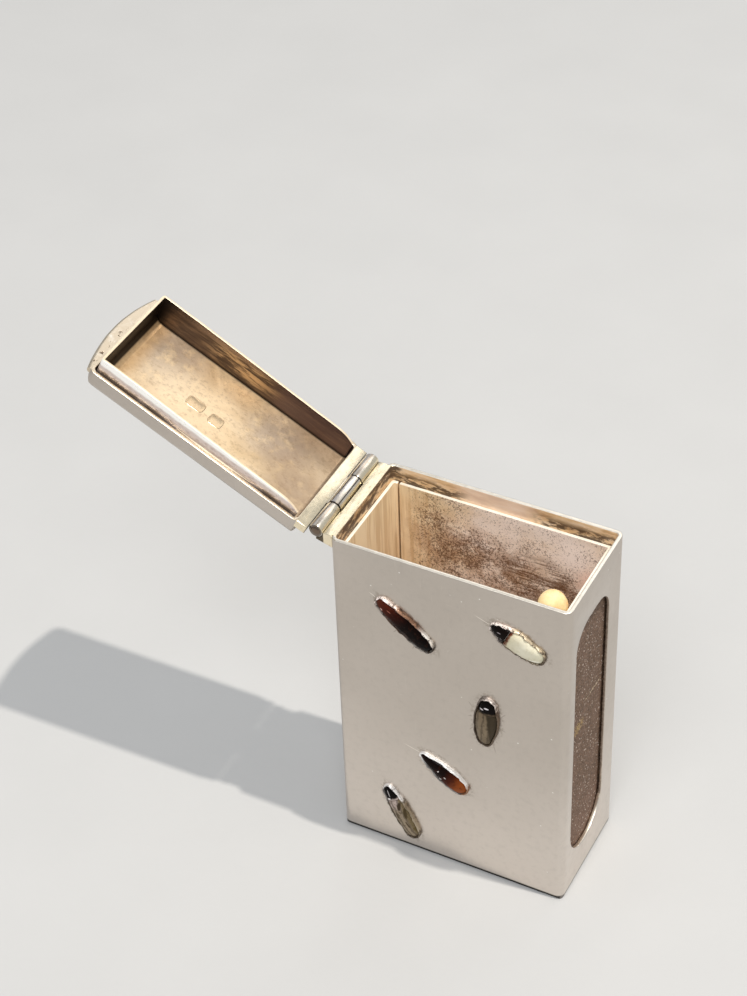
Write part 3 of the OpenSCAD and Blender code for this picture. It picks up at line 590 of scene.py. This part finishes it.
PAINT = {
    "case": silver_outside(),
    "bright": silver_bright("edge_silver"),
    "lid_bright": silver_bright("lid_edge_silver", lid=True, tint=(224, 210, 188)),
    "lip": silver_bright("lip_silver", lid=True, nicks=True),
    "band_rim": silver_bright("band_rim_silver", lid=True, metallic=0.15, tint=(234, 214, 184)),
    "sleeve_edge": silver_bright("sleeve_edge_silver", metallic=0.15, tint=(255, 248, 232)),
    "stain": band_stain(),
    "liner": liner_inside(),
    "lid_floor": lid_inside(),
    "lid_walls": lid_walls(),
    "band": band_outside(),
    "bearer": hinge_silver("bearer_silver", edge=-16.93),
    "bar": hinge_silver("bar_silver", lid=True, edge=-16.88),
    # Angle, half width, share and tone of each painted highlight and reflection band round the knuckles.
    "knuckle": knuckle_silver("knuckle_silver", False, (
        (152, 14, 0.9, (60, 48, 40)), (118, 26, 0.5, (200, 190, 186)), (82, 12, 0.4, (150, 118, 92)),
        (25, 45, 0.8, (252, 238, 204)))),
    "lid_knuckle": knuckle_silver("lid_knuckle_silver", True, (
        (-105, 7, 0.85, (70, 58, 48)), (-25, 8, 0.85, (64, 52, 44)), (-55, 24, 0.5, (206, 198, 200)),
        (-140, 30, 0.8, (252, 238, 204)))),
    # Painted shade: the pin's domed ends are tinted dark, as the hinge's end faces lie in shade.
    "pin": hinge_silver("pin_silver", tint=(124, 108, 94), dull=(70, 58, 48)),
    "reveal": window_edge(),
    "patch": hinge_silver("patch_gilt", True, (222, 196, 160), (150, 124, 94)),
    "strip": striker(),
    # The pale marks on the stones below are painted glints and highlights.
    "red_black": stone_paint("stone_red_black", "upper_left", (
        (0.0, (84, 44, 30)), (0.14, (76, 30, 16)), (0.3, (46, 16, 9)), (0.5, (16, 7, 5)),
        (1.0, (7, 4, 4))), marks=(
        (-3.1, 0.3, 0.35, 0.09, 0.2, (140, 84, 70)), (-3.9, -0.4, 0.22, 0.12, 0, (200, 164, 150)),
        (0.4, -0.55, 0.7, 0.06, 0, (84, 64, 56))), crumbs=(0.25, (62, 34, 24))),
    "head_right": stone_paint("stone_head_right", "upper_right", (
        (0.0, (14, 9, 8)), (0.3, (18, 11, 9))), marks=(
        (-2.2, 0.2, 0.28, 0.1, 0.3, (128, 120, 122)), (-1.6, -0.4, 0.2, 0.09, -0.4, (112, 104, 104)))),
    "cream": stone_paint("stone_cream", "upper_right", (
        (0.31, (34, 18, 13)), (0.35, (98, 52, 34)), (0.385, (208, 200, 172)), (0.6, (222, 216, 194)),
        (1.0, (212, 206, 180))), marks=((3.1, -0.5, 0.8, 0.12, 0.5, (242, 238, 226)),), rough=0.14,
        crumbs=(0.2, (178, 166, 132))),
    "head_middle": stone_paint("stone_head_middle", "middle", (
        (0.0, (12, 9, 8)), (0.24, (15, 11, 9)), (0.29, (88, 74, 58))), marks=(
        (-2.75, 0.0, 0.12, 0.36, -0.3, (226, 220, 222)), (-2.45, -0.6, 0.12, 0.3, 0.4, (206, 198, 198)))),
    "striped": stone_paint("stone_striped", "middle", (
        (0.3, (118, 102, 82)), (0.7, (132, 117, 96)), (1.0, (100, 86, 68))), 0.45,
        (0.45, 0.15, (54, 46, 34)), crumbs=(0.5, (66, 56, 42))),
    "black_amber": stone_paint("stone_black_amber", "lower", (
        (0.0, (14, 9, 8)), (0.5, (22, 9, 6)), (0.66, (72, 28, 13)), (0.8, (132, 66, 28)),
        (1.0, (146, 78, 36))), marks=(
        (-2.2, 0.15, 0.1, 0.16, 0, (224, 214, 208)), (-1.0, 0.05, 0.2, 0.1, 0, (214, 204, 198)),
        (-1.3, -0.75, 0.22, 0.13, 0.3, (230, 222, 218))), crumbs=(0.45, (58, 26, 15))),
    "head_foot": stone_paint("stone_head_foot", "foot", (
        (0.0, (12, 10, 9)), (0.21, (16, 12, 10)), (0.25, (176, 160, 152))), marks=(
        (-4.1, -0.05, 0.6, 0.07, 0, (190, 184, 182)), (-3.3, -0.35, 0.16, 0.26, 0, (226, 220, 216)))),
    "mottled": stone_paint("stone_mottled", "foot", (
        (0.25, (184, 167, 158)), (0.36, (176, 158, 148)), (0.46, (146, 131, 111)), (0.9, (150, 134, 112)),
        (1.0, (84, 70, 54))), 0.55, (0.75, 0.0, (112, 97, 68)), (
        (-1.9, 0.5, 0.7, 0.3, -0.4, (66, 55, 42)), (-0.4, -0.5, 0.6, 0.2, 0, (86, 74, 58)),
        (-0.6, 0.8, 0.9, 0.22, -0.2, (74, 62, 42)), (1.2, 0.35, 0.7, 0.14, 0.1, (82, 70, 52)),
        (2.1, 0.9, 0.35, 0.2, 0, (100, 86, 56))), crumbs=(0.6, (70, 58, 42))),
    # Near-white tones of the collets below are painted highlights on their lit sides.
    "collet_upper_left": collet_paint(
        "upper_left", 0.85, (0.0, (252, 238, 230)), (0.2, (250, 234, 224)), (0.3, (150, 112, 88)),
        (0.62, (136, 100, 78)), (0.76, (250, 244, 236)), (0.88, (236, 226, 214)), (0.97, (44, 34, 28))),
    "collet_upper_right": collet_paint(
        "upper_right", 0.85, (0.0, (248, 234, 226)), (0.28, (246, 231, 222)), (0.36, (212, 194, 166)),
        (0.88, (206, 188, 158)), (0.97, (70, 54, 42))),
    "collet_middle": collet_paint(
        "middle", 0.75, (0.0, (230, 216, 206)), (0.14, (216, 200, 187)), (0.22, (112, 92, 72)),
        (0.9, (98, 82, 64)), (1.0, (60, 48, 38))),
    "collet_lower": collet_paint(
        "lower", 0.15, (0.0, (255, 252, 248)), (0.85, (253, 248, 242)), (0.95, (150, 110, 80))),
    "collet_foot": collet_paint(
        "foot", 0.6, (0.0, (253, 249, 245)), (0.26, (249, 243, 237)), (0.36, (152, 134, 110)),
        (0.85, (178, 162, 138)), (1.0, (60, 48, 38))),
    "wax": match_paint("match_wax_paint", (240, 230, 210), (222, 202, 172)),
    "tip": match_paint("match_tip_paint", (255, 234, 182), (248, 210, 152)),
}


def make(bm, name, body, nodes, paints, pick=None, lid=False, sharp=40):
    """Turns a mesh drawn in millimetres into a piece of the model."""
    if lid:
        bmesh.ops.transform(bm, matrix=ON_LID, verts=bm.verts)
    bmesh.ops.recalc_face_normals(bm, faces=bm.faces)
    if pick:
        back = ON_LID.inverted() if lid else Matrix.Identity(4)
        for face in bm.faces:
            normal = back.to_3x3() @ face.normal
            face.material_index = pick(back @ face.calc_center_median(), normal)
    bmesh.ops.scale(bm, vec=(MM,) * 3, verts=bm.verts)
    mesh = bpy.data.meshes.new(name)
    bm.to_mesh(mesh)
    bm.free()
    mesh.shade_smooth()
    mesh.set_sharp_from_angle(angle=math.radians(sharp))
    for paint in paints:
        mesh.materials.append(PAINT[paint])
    piece = bpy.data.objects.new(name, mesh)
    bpy.context.collection.objects.link(piece)
    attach(piece, body)
    if nodes:
        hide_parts(*nodes)


def round_edges(bm, edges, radius):
    bmesh.ops.bevel(bm, geom=edges, offset=radius, offset_type="OFFSET", affect="EDGES", segments=3,
                    profile=0.5, material=-1)


def from_node(node, bevel, lid=False, above=-1.0):
    """A node's shape in millimetres, a lid's turned shut, with sharp edges above a height rounded."""
    bm = bmesh.new()
    bm.from_mesh(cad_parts[node].data)
    bmesh.ops.scale(bm, vec=(1 / MM,) * 3, verts=bm.verts)
    if lid:
        bmesh.ops.transform(bm, matrix=ON_LID.inverted(), verts=bm.verts)
    bmesh.ops.remove_doubles(bm, verts=bm.verts, dist=0.0005)
    bmesh.ops.dissolve_limit(bm, angle_limit=math.radians(0.2), verts=bm.verts, edges=bm.edges)
    bmesh.ops.recalc_face_normals(bm, faces=bm.faces)
    edges = [e for e in bm.edges if len(e.link_faces) == 2 and e.calc_face_angle() > SHARP_EDGE
             and min(v.co.z for v in e.verts) > above]
    if bevel:
        round_edges(bm, edges, bevel)
    return bm


def open_edges(bm):
    return [edge for edge in bm.edges if edge.is_boundary]


def loft(bm, rings, filled=True):
    """Extrudes a ring of points through others of the same count, and fills the two ends."""
    verts = [bm.verts.new(point) for point in rings[0]]
    edges = [bm.edges.new(pair) for pair in zip(verts, verts[1:] + verts[:1])]
    for ring in rings[1:]:
        made = set(bmesh.ops.extrude_edge_only(bm, edges=edges)["geom"])
        verts = [next(e.other_vert(v) for e in v.link_edges if e.other_vert(v) in made) for v in verts]
        edges = [bm.edges.get(pair) for pair in zip(verts, verts[1:] + verts[:1])]
        for vert, point in zip(verts, ring):
            vert.co = point
    if filled:
        bmesh.ops.holes_fill(bm, edges=open_edges(bm))


def spun(line, centre, axis, steps, tube=False):
    """Turns a line of points once round an axis; a tube's line is closed, and other ends are filled."""
    bm = bmesh.new()
    verts = [bm.verts.new(point) for point in line]
    edges = [bm.edges.new(pair) for pair in zip(verts, verts[1:])]
    if tube:
        edges.append(bm.edges.new((verts[-1], verts[0])))
    bmesh.ops.spin(bm, geom=verts + edges, cent=centre, axis=axis, angle=2 * math.pi, steps=steps,
                   use_merge=True)
    bmesh.ops.remove_doubles(bm, verts=bm.verts, dist=0.0005)
    if not tube:
        bmesh.ops.holes_fill(bm, edges=open_edges(bm))
    return bm


def body_paint(centre, normal):
    inside = abs(centre.x) < CASE_W / 2 - WALL + 0.1 and abs(centre.y) < CASE_D / 2 - WALL + 0.1
    if normal.z > 0.35 and centre.z > CASE_H - 0.3:
        return 3 if centre.x < -14.9 else 1
    if abs(normal.x) < 0.5 and all(a < c < b for a, c, b in zip(WINDOW_EDGE[0], centre, WINDOW_EDGE[1])):
        # Painted highlight: the lower arc of the window's cut edge takes the bright silver.
        return 1 if centre.z < 8.2 and centre.y > -4 else 4
    return 2 if inside else 0


make(from_node("body_shell", 0.12, above=1.2), "case_body", "case", ["body_shell"],
     ["case", "bright", "stain", "bearer", "reveal"], body_paint)
make(from_node("base_plate", 0), "case_base", "case", ["base_plate"], ["case", "liner"],
     lambda c, n: 1 if n.z > 0.9 else 0)
make(from_node("inner_liner", 0.1, above=2.0), "case_liner", "case", ["inner_liner"],
     ["liner", "sleeve_edge"], lambda c, n: 1 if n.z > 0.35 and c.z > LINER_TOP - 0.3 else 0)


def block(bm, low, high):
    """Adds a box between two corners."""
    low, high = Vector(low), Vector(high)
    size = Matrix.Diagonal((*(high - low), 1))
    bmesh.ops.create_cube(bm, size=1, matrix=Matrix.Translation((low + high) / 2) @ size)


# The bearer's top runs on over the end wall to the mouth.
bm = from_node("hinge_bearer", 0.06)
block(bm, *BEARER_SLAB)
make(bm, "case_bearer", "case", ["hinge_bearer"], ["bearer"])


def on_hinge(line, steps, tube=False):
    """Turns a line of pairs, place along the hinge and radius, round the hinge."""
    return spun([(HINGE.x + r, y, HINGE.z) for y, r in line], HINGE, (0, 1, 0), steps, tube)


for name, y0, y1 in (("front_knuckle", -ROW, -KNUCKLE_IN), ("rear_knuckle", KNUCKLE_IN, ROW)):
    bore, soft = PIN_R + PIN_GAP, KNUCKLE_SOFT
    end = [(y0 + 0.5, bore), (y0 + 0.02, bore), (y0, bore + 0.05), (y0, KNUCKLE_R - soft),
           (y0 + soft * 0.3, KNUCKLE_R - soft * 0.3), (y0 + soft, KNUCKLE_R)]
    other = [(y0 + y1 - y, r) for y, r in reversed(end)]
    make(on_hinge(end + other, 40, tube=True), "case_" + name, "case", [name], ["knuckle"])

# The pin's ends are hammered into low domes.
dome = [(ROW + 0.18, 0.1), (ROW + 0.16, 0.3), (ROW + 0.11, 0.48), (ROW + 0.02, 0.6), (ROW - 0.01, 0.42),
        (ROW - 0.02, PIN_R)]
bm = on_hinge([(-y, r) for y, r in dome] + dome[::-1], 32)
make(bm, "case_hinge_pin", "case", ["hinge_pin"], ["pin"])

# Striker strip: a fine grid broken up into grains, its rim drawn back to make a block.
bm = bmesh.new()
low, high = Vector(STRIP[0]), Vector(STRIP[1])
half = (high - low) / 2
upright = Matrix((
    (0, 0, 1, high.x), (half.y, 0, 0, low.y + half.y), (0, half.z, 0, low.z + half.z), (0, 0, 0, 1)))
bmesh.ops.create_grid(bm, x_segments=93, y_segments=344, size=1, matrix=upright)
for vert in bm.verts:
    if not vert.is_boundary:
        at = Vector((vert.co.y, vert.co.z, 0)) * 3.3 + Vector((0, 0, 0.7))
        grain = 0.5 + 0.5 * noise.noise(at) + 0.35 * noise.noise(at * 2.7)
        vert.co.x -= GRAIN * min(max(grain, 0.0), 1.0)
rim = bmesh.ops.extrude_edge_only(bm, edges=open_edges(bm))["geom"]
for vert in rim:
    if isinstance(vert, bmesh.types.BMVert):
        vert.co.x = low.x
bmesh.ops.holes_fill(bm, edges=open_edges(bm))
make(bm, "case_striker", "case", ["striker_strip"], ["strip"], sharp=180)


def leaf_end(reach, width, tip_r, steps):
    """Points of half a leaf outline, from its side at the middle round the tip to the other side."""
    tip = reach - tip_r
    rise = width / 2 - tip_r
    centre = (tip * tip - rise * rise) / (2 * rise)
    side_r = centre + width / 2
    meet = math.atan2(centre, tip)
    arc = []
    for i in range(steps):
        a = math.pi / 2 + (meet - math.pi / 2) * i / steps
        arc.append((side_r * math.cos(a), side_r * math.sin(a) - centre))
    for i in range(steps + 1):
        a = meet * (1 - i / steps)
        arc.append((tip + tip_r * math.cos(a), tip_r * math.sin(a)))
    return arc + [(x, -y) for x, y in reversed(arc[:-1])]


def leaf(which, inset, steps=14):
    """Closed leaf outline of a stone, shrunk evenly by inset."""
    head, tail, width, head_r, tail_r = STONES[which][:5]
    right = leaf_end(tail - inset, width - 2 * inset, tail_r - inset, steps)
    left = leaf_end(head - inset, width - 2 * inset, head_r - inset, steps)
    outline = []
    for u, v in right + [(-x, y) for x, y in reversed(left[1:-1])]:
        uneven = 0.97 + 0.07 * noise.noise(Vector((u * 0.7, v * 0.7, 1.7 * len(which))))
        outline.append((u * (0.5 + 0.5 * uneven), v * uneven))
    return outline


def to_front(which, u, v, out):
    x, z, turn = STONES[which][5:]
    turn = math.radians(turn)
    c, s = math.cos(turn), math.sin(turn)
    return (x + u * c - v * s, FRONT - out, z + u * s + v * c)


def collet(which, notched):
    """Raised band, pinched unevenly over the stone; a notched one has its rim cut into small teeth."""
    bm = bmesh.new()
    profile = ((0.0, 0.0), (0.0, 0.36), (0.03, 0.5), (0.09, 0.58), (0.15, 0.6), (0.21, 0.55),
               (0.25, 0.46), (0.25, 0.0))
    rings = []
    for inset, out in profile:
        ring = []
        for k, (u, v) in enumerate(leaf(which, inset)):
            worn = noise.noise(Vector((u * 1.3, v * 1.3, len(which))))
            worn += 0.6 * noise.noise(Vector((u * 4, v * 4, 5.0)))
            lift = 0.8 + 0.2 * max(min(worn * 1.6, 1), -1)
            if notched and out > 0.45:
                lift -= 0.2 if k % 5 < 2 else 0.0
            push = 0.07 * noise.noise(Vector((u * 2.2, v * 2.2, 9.0))) if 0.05 < inset < 0.24 else 0.0
            ring.append(to_front(which, u * (1 + push / 3), v * (1 + push), out * lift))
        rings.append(ring)
    loft(bm, rings + [rings[0]], filled=False)
    bmesh.ops.remove_doubles(bm, verts=bm.verts, dist=0.0005)
    node = "collet_" + which
    make(bm, "case_" + node, "case", [node], [node], sharp=60)


def stone(which):
    """Domed stone inside its collet, with a steep shoulder and a slightly uneven crown."""
    bm = bmesh.new()
    outline = leaf(which, COLLET_T + STONE_GAP)
    rings = [[to_front(which, u, v, 0.0) for u, v in outline]]
    for k in range(16):
        r = math.cos(k / 16 * math.pi / 2)
        out = 0.22 + (STONE_CROWN - 0.22) * (1 - r ** 3.2) ** 0.6
        ring = []
        for u, v in outline:
            dent = 0.09 * noise.noise(Vector((u * r * 0.8, v * r * 0.8, 2.0 + len(which)))) * (1 - r)
            ring.append(to_front(which, u * r, v * r, out - abs(dent)))
        rings.append(ring)
    loft(bm, rings)
    return bm


def split(bm, which, head):
    """Keeps the head or the body of a stone made of two parts, and rounds its crown down to the cut."""
    place = HEAD_L - STONES[which][0] + (0 if head else SPLIT_GAP)
    edge = Vector(to_front(which, place, 0, 0))
    past = stone_axes(which)[0] * (1 if head else -1)
    for k in range(5):
        depth = SPLIT_R * (1 - math.sin(k * math.pi / 8))
        found = bmesh.ops.bisect_plane(
            bm, geom=bm.verts[:] + bm.edges[:] + bm.faces[:], dist=0.0001, plane_co=edge - past * depth,
            plane_no=past, clear_outer=k == 4)
    bmesh.ops.holes_fill(bm, edges=[g for g in found["geom_cut"] if isinstance(g, bmesh.types.BMEdge)])
    for vert in bm.verts:
        near = min(SPLIT_R + (vert.co - edge).dot(past), SPLIT_R)
        if near > 0:
            height = FRONT - vert.co.y
            drop = SPLIT_R - math.sqrt(SPLIT_R ** 2 - near ** 2)
            vert.co.y = FRONT - max(height - drop, min(height, 0.02))
    return bm


for which in STONES:
    collet(which, which == "upper_right")
for which, paint in (("upper_left", "red_black"), ("lower", "black_amber")):
    node = "stone_" + which
    make(stone(which), "case_" + node, "case", [node], [paint])
for which, head_paint, tail_paint, slot in (
        ("upper_right", "head_right", "cream", "cream_shell"),
        ("middle", "head_middle", "striped", "banded_stone"),
        ("foot", "head_foot", "mottled", "banded_stone")):
    node = "stone_" + which
    make(split(stone(which), which, True), "case_" + node + "_head", "case", [node + "_head"],
         [head_paint])
    make(split(stone(which), which, False), "case_" + node + "_body", "case", [node + "_body"],
         [tail_paint])


def match_part(line, lumps):
    """Round piece about the match's axis, from radius and height pairs, with an uneven skin."""
    foot = Vector((MATCH_X, MATCH_Y, 0))
    bm = spun([foot + Vector((r, 0, z)) for r, z in line], foot, (0, 0, 1), 40)
    for vert in bm.verts:
        at = vert.co - foot
        skin = 1 - lumps * (0.5 + 0.5 * noise.noise(at * 0.8))
        vert.co = foot + Vector((at.x * skin, at.y * skin, at.z))
    return bm


head = []
for k in range(25):
    a = -math.pi / 2 + math.pi * k / 24
    z = MATCH_HEAD_Z + MATCH_HEAD_HALF * math.sin(a)
    if z > MATCH_NECK_Z:
        head.append((max(MATCH_R * math.cos(a), 0.05), z))
make(match_part(head, 0.07), "case_match_head", "case", ["match_head"], ["tip"])
stem = [(MATCH_STEM_R * 0.8, BASE_T)]
for k in range(21):
    stem.append((MATCH_STEM_R, BASE_T + 0.2 + (MATCH_NECK_Z - BASE_T - 0.2) * k / 20))
make(match_part(stem, 0.06), "case_match_stem", "case", ["match_stem"], ["wax"])


def lid_paint(centre, normal):
    inside = abs(centre.x) < CASE_W / 2 - WALL + 0.1 and abs(centre.y) < CASE_D / 2 - WALL + 0.1
    if normal.z < -0.35 and centre.z < CASE_H + 0.4:
        return 1
    if inside and normal.z < -0.5:
        return 2
    inward = normal.x * centre.x + normal.y * centre.y < 0
    return 3 if inside and inward and centre.z < LID_FLOOR + 0.01 else 0


make(from_node("lid_shell", 0.1, lid=True), "lid_tray", "lid", ["lid_shell"],
     ["case", "lid_bright", "lid_floor", "lid_walls"], lid_paint, lid=True)


def band_paint(centre, normal):
    if normal.z < -0.5:
        return 0
    return 1 if normal.x * centre.x / BAND_X + normal.y * centre.y / BAND_Y > 0 else 2


# Band of the lid: its section runs along three sides, and its foot rises toward the hinge.
path = []
for k in range(61):
    path.append((BAND_START + BAND_RUN * k / 60, -BAND_Y, 0, -1))
for k in range(1, 9):
    a = math.pi / 2 * k / 8
    c, s = math.cos(a), math.sin(a)
    path.append((BAND_BEND_X + BAND_R * s, -BAND_BEND_Y - BAND_R * c, s, -c))
for k in range(1, 15):
    path.append((BAND_X, -BAND_BEND_Y + 2 * BAND_BEND_Y * k / 28, 1, 0))
path += [(x, -y, nx, -ny) for x, y, nx, ny in reversed(path[:-1])]
rings = []
for x, y, nx, ny in path:
    high = 1.3 + 0.75 * min(max((x - BAND_START) / 25, 0), 1)
    high -= 0.8 * max(0, 1 - (x - BAND_START) / 2.6) ** 2
    foot = CASE_H - high + 0.03 * noise.noise(Vector((x * 0.5, y * 0.5, 3.0)))
    bow = 0.03 * noise.noise(Vector((x * 0.25, y * 0.25, 8.0)))
    solder = min(max(1.5 - abs(x + 2.5) / 5, 0), 1) * 0.19
    ring = []
    for inset, z in (
            (0, 51.9), (-solder, 50.3), (-solder, 50.08), (-solder * 0.3, 49.98), (0, 49.8), (0, foot + 0.1),
            (0.03, foot + 0.03), (0.1, foot), (0.25, foot), (0.32, foot + 0.03), (BAND_T, foot + 0.1),
            (BAND_T, 49.9), (BAND_T, 52.2)):
        shift = inset + (bow if z < 49.5 else 0)
        past = max(x - nx * inset, CURVE_X) - CURVE_X
        bend = CURVE_Z + math.sqrt(max(CURVE_R ** 2 - past ** 2, 0))
        ring.append((x - nx * shift, y - ny * shift, min(z, bend)))
    rings.append(ring)
bm = bmesh.new()
loft(bm, rings)
make(bm, "lid_band", "lid", ["lid_flange"], ["band_rim", "band", "lid_walls"], band_paint, lid=True)

# Thumb lip: a crescent with a full round edge.
rings = []
for k in range(49):
    y = -LIP_HALF + 2 * LIP_HALF * k / 48
    past = max(abs(y) - ROOT_Y, 0)
    inner = ROOT_X + math.sqrt(ROOT_R ** 2 - past ** 2)
    outer = LIP_REACH - LIP_R + math.sqrt(LIP_R ** 2 - y ** 2) - 0.03
    outer -= 0.03 * noise.noise(Vector((y * 0.6, 0.3, 0.9)))
    nose = min(0.42, (outer - inner) * 0.8)
    ring = [(inner, y, LIP_Z - LIP_T)]
    for j in range(13):
        a = math.pi * j / 12
        ring.append((outer - nose + nose * math.sin(a), y, LIP_Z - LIP_T * math.cos(a)))
    ring.append((inner, y, LIP_Z + LIP_T))
    rings.append(ring)
bm = bmesh.new()
loft(bm, rings)
make(bm, "lid_thumb_lip", "lid", ["thumb_lip"], ["lip"], lid=True)

# Hinge bar: it takes in the rim of the lid's end.
bm = bmesh.new()
block(bm, *LID_BAR)
round_edges(bm, bm.edges[:], 0.1)
make(bm, "lid_bar", "lid", ["lid_hinge_bar"], ["bar"], lid=True)
make(from_node("lid_knuckle", 0.06, lid=True), "lid_middle_knuckle", "lid", ["lid_knuckle"],
     ["lid_knuckle"], lid=True)


def plaque(name, x, y, long, wide):
    """Small struck patch on the lid's floor, left blank."""
    bm = bmesh.new()
    outline = []
    for k in range(32):
        a = 2 * math.pi * k / 32
        c, s = math.cos(a), math.sin(a)
        u = math.copysign(abs(c) ** 0.5, c) * long / 2
        v = math.copysign(abs(s) ** 0.5, s) * wide / 2
        outline.append((u, v))
    rings = []
    for grow, drop in ((1.0, 0.0), (0.97, 0.025), (0.92, 0.035), (0.86, 0.02), (0.8, 0.008)):
        rings.append([(x + grow * u, y + grow * v, LID_FLOOR - drop) for u, v in outline])
    loft(bm, rings)
    make(bm, name, "lid", [], ["patch"], lid=True)


plaque("lid_patch_a", 3.52, -0.45, 2.6, 1.7)
plaque("lid_patch_b", 0.26, -0.77, 2.0, 1.8)


# Plain pale floor, soft light and the camera of the photograph.
floor = Paint("floor_paint", metallic=0.0, Specular_IOR_Level=0.3)
grain = floor.noise(0.05, 3, 0.5)
floor.bump(floor.noise(0.5, 3, 0.6, seed=2), 0.03)
floor_mat = floor.finish(floor.mix(grain, rgb(190, 190, 189), rgb(196, 196, 195)), grain, 0.65, 0.8)
bm = bmesh.new()
bmesh.ops.create_grid(bm, x_segments=1, y_segments=1, size=4)
mesh = bpy.data.meshes.new("floor")
bm.to_mesh(mesh)
bm.free()
mesh.materials.append(floor_mat)
floor_object = bpy.data.objects.new("floor", mesh)
bpy.context.collection.objects.link(floor_object)

scene = bpy.context.scene
scene.view_settings.view_transform = "Standard"
world = bpy.data.worlds.new("studio")
scene.world = world
world.use_nodes = True
world.node_tree.nodes["Background"].inputs["Color"].default_value = (0.93, 0.96, 1.0, 1)
world.node_tree.nodes["Background"].inputs["Strength"].default_value = 0.5


def lamp(name, place, aim, size, power, colour=(1, 1, 1)):
    """Round or oval soft lamp at a place, turned toward a point."""
    data = bpy.data.lights.new(name, "AREA")
    data.shape = "ELLIPSE"
    data.size, data.size_y = size
    data.energy = power
    data.color = colour
    light = bpy.data.objects.new(name, data)
    light.location = place
    light.rotation_euler = (Vector(aim) - Vector(place)).to_track_quat("-Z", "Y").to_euler()
    bpy.context.collection.objects.link(light)


lamp("key", (0.28, 0.017, 0.985), (-0.02, 0, 0.03), (0.02, 0.02), 6.4, (1, 0.94, 0.86))
lamp("back", (-0.03, 0.78, 0.72), (-0.01, 0, 0.04), (1.0, 0.5), 1.4, (1, 0.97, 0.93))
lamp("front", (0.12, -0.5, 0.75), (0, 0, 0.04), (0.5, 0.5), 3.6)

# Fitted camera: where it stands, its turn about the object and its roll.
azimuth, elevation, roll = (math.radians(a) for a in (28.61, 40.15, -2.23))
level = math.cos(elevation)
behind = Vector((math.sin(azimuth) * level, -math.cos(azimuth) * level, math.sin(elevation)))
right = (-behind).cross(Vector((0, 0, 1))).normalized()
up = right.cross(-behind)
side = right * math.cos(roll) + up * math.sin(roll)
top = up * math.cos(roll) - right * math.sin(roll)
data = bpy.data.cameras.new("photo_camera")
data.sensor_width = SENSOR
data.lens = FOCAL * SENSOR / PHOTO_H
data.clip_start = 0.01
camera = bpy.data.objects.new("photo_camera", data)
camera.matrix_world = Matrix((*zip(side, top, behind, CAMERA_AT), (0, 0, 0, 1)))
bpy.context.collection.objects.link(camera)
scene.camera = camera
